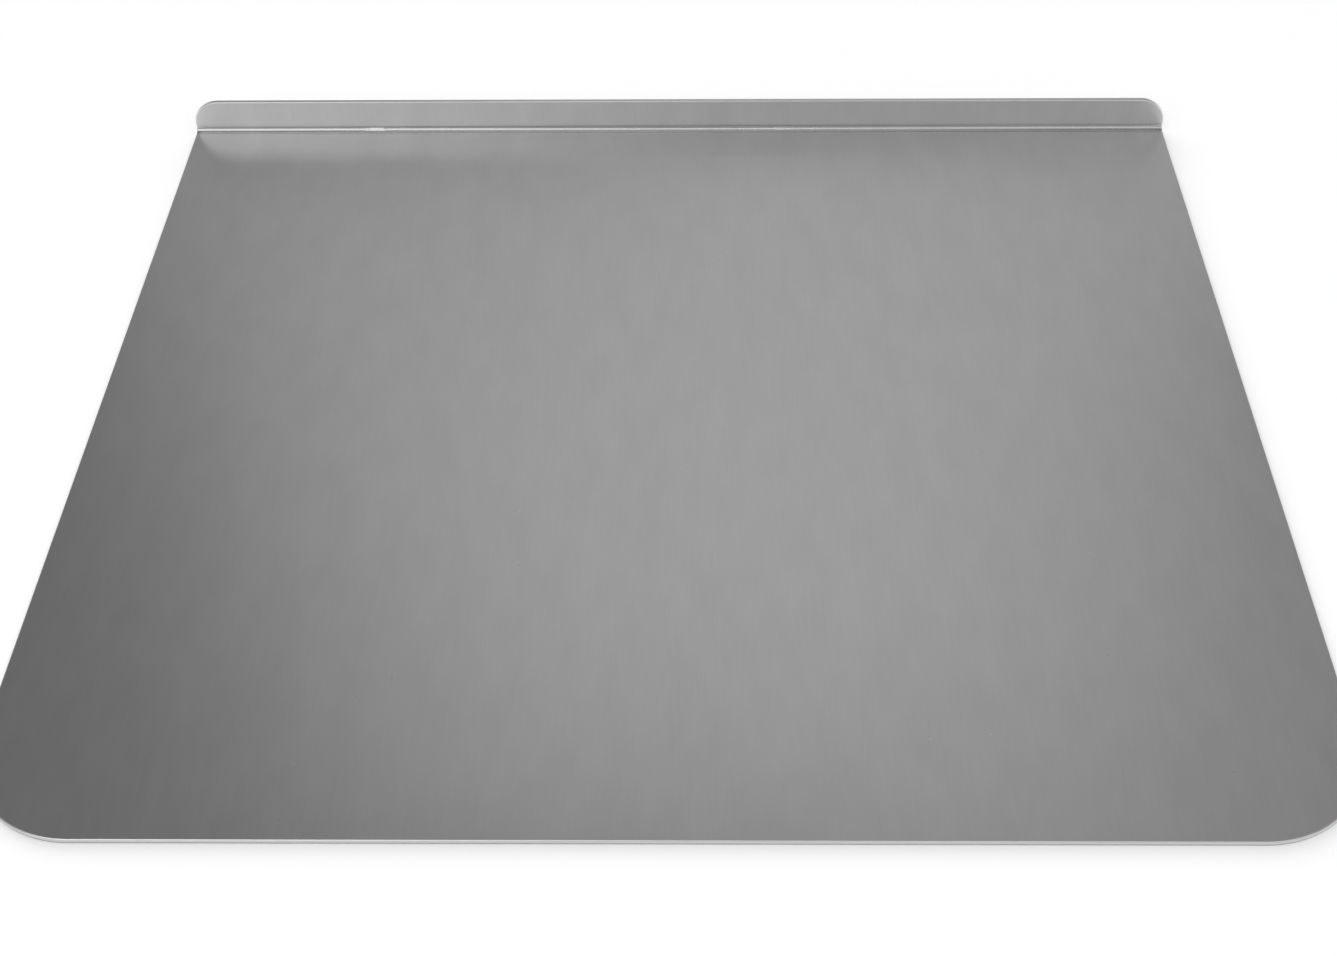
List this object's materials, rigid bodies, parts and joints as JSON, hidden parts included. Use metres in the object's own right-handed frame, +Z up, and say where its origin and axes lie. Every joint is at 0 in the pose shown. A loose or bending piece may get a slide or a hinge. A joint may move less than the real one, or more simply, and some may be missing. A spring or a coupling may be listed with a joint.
{
  "type": "cookie sheet",
  "caption": "Flat rectangular aluminium baking sheet with an upturned lip along its rear edge, open at the front and sides, with rounded corners.",
  "frame": {"origin": "on the underside, in the middle of the footprint", "axes": "+X along the lip, +Y from the open front edge back to the lip, +Z up"},
  "size_m": [0.3556, 0.3048, 0.014],
  "materials": {
    "anodised_aluminium": "rolled aluminium sheet, silver anodised to a satin grey, with a brighter tumbled cut edge"
  },
  "bodies": {
    "root": {"baking_sheet": "anodised_aluminium"}
  },
  "joints": []
}
